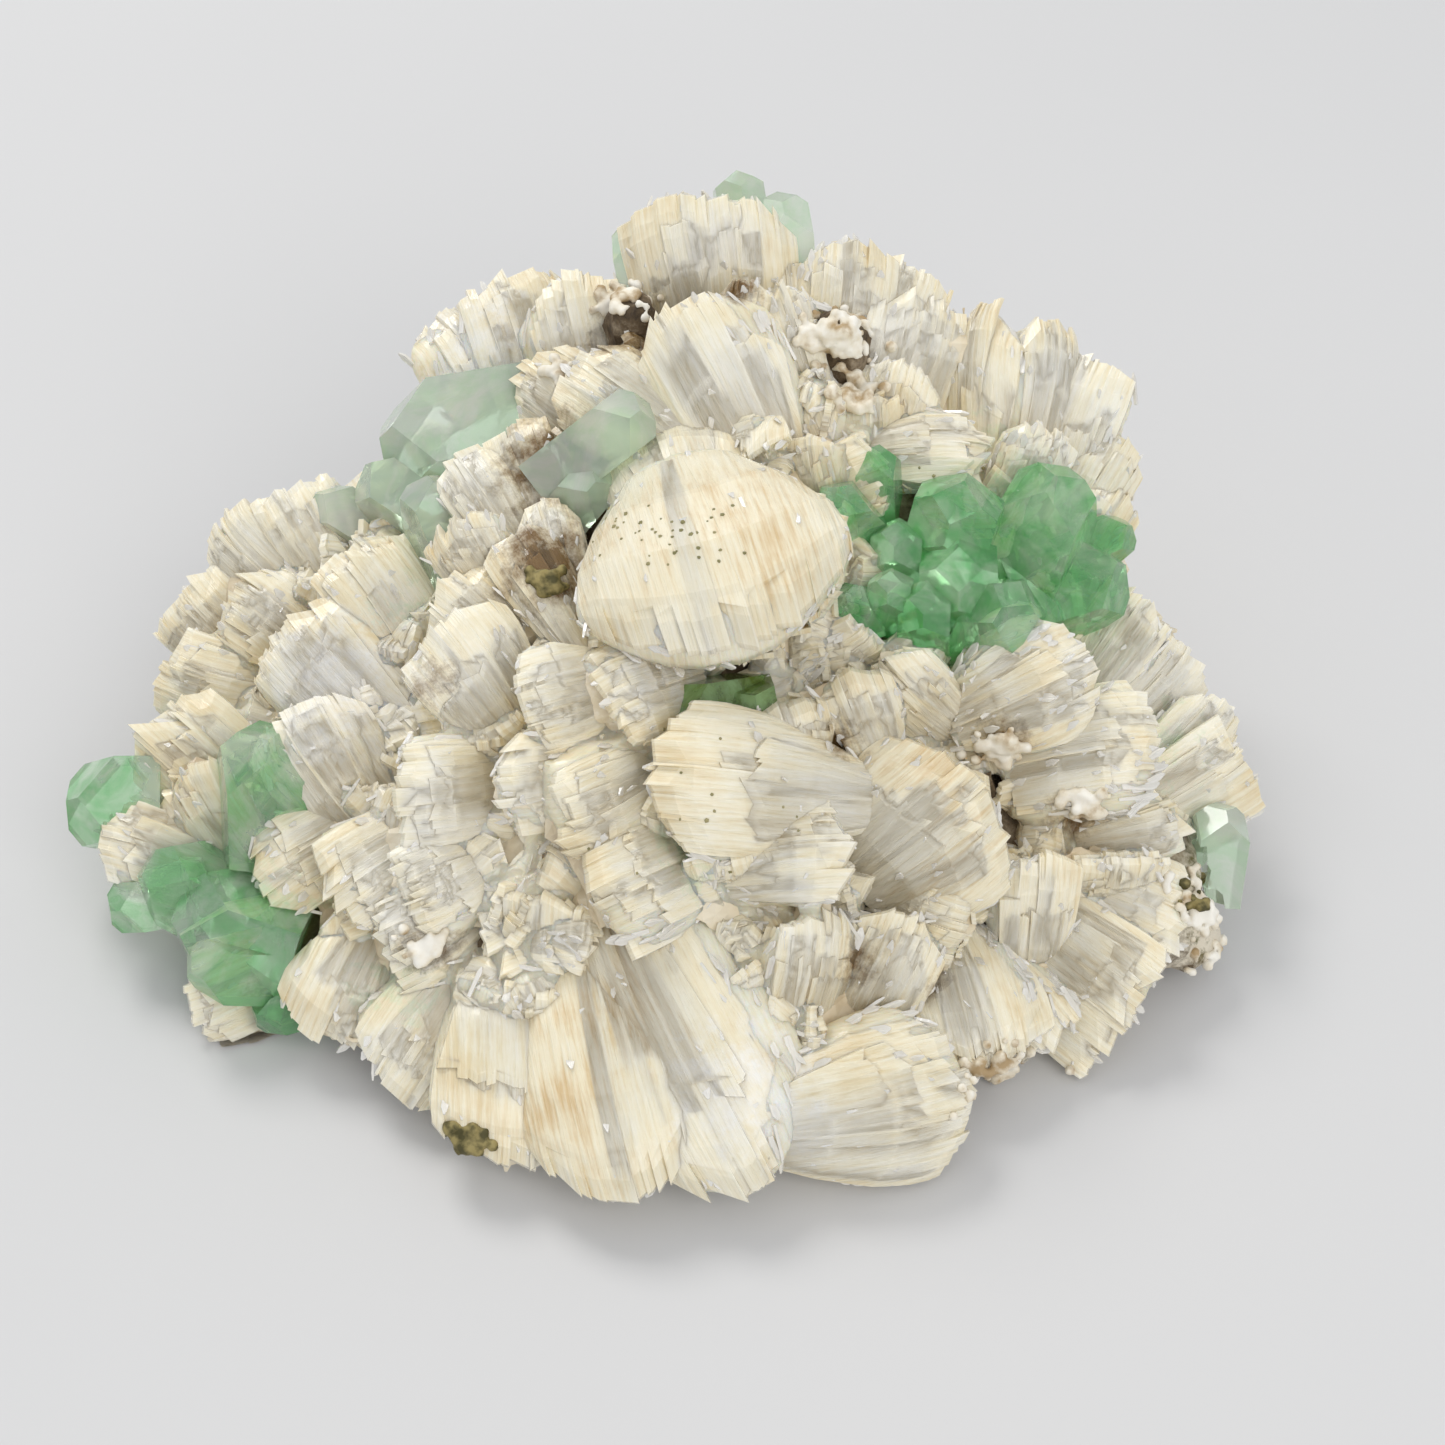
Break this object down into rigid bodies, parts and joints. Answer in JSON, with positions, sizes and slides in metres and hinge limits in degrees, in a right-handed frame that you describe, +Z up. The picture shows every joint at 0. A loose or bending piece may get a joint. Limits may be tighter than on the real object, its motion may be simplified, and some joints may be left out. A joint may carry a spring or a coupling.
{
  "type": "apophyllite with stilbite mineral specimen",
  "caption": "Mineral specimen: cream stilbite sheaves and a bow-tie with clear green apophyllite prisms on grey basalt, cut flat below so that it rests on a surface.",
  "frame": {"origin": "middle of the specimen's outline, on the plane of the flat cut that it rests on", "axes": "+X to the right as the picture shows it, +Y to the back, +Z up"},
  "size_m": [0.1417, 0.1152, 0.0621],
  "materials": {
    "basalt": "dull, rough, fine-grained",
    "stilbite": "translucent cream, pearly, ridged lengthwise",
    "apophyllite": "clear to cloudy green, glassy faces"
  },
  "bodies": {
    "root": {"apophyllite_back_peak": "apophyllite", "apophyllite_back_small": "apophyllite", "apophyllite_centre_pocket": "apophyllite", "apophyllite_far_left": "apophyllite", "apophyllite_left_cluster": "apophyllite", "apophyllite_low_left": "apophyllite", "apophyllite_lower_left": "apophyllite", "apophyllite_right_cluster": "apophyllite", "apophyllite_right_edge": "apophyllite", "apophyllite_tall_left": "apophyllite", "apophyllite_upper_left": "apophyllite", "apophyllite_upper_middle": "apophyllite", "basalt_matrix": "basalt", "stilbite_bow_tie": "stilbite", "stilbite_cream_sheaf": "stilbite", "stilbite_druse": "stilbite", "stilbite_front_dome": "stilbite", "stilbite_long_pale": "stilbite", "stilbite_lying_front": "stilbite", "stilbite_peach_fan": "stilbite", "stilbite_peak_blade": "stilbite", "stilbite_right_bow": "stilbite", "stilbite_white_sheaf": "stilbite"}
  },
  "joints": []
}
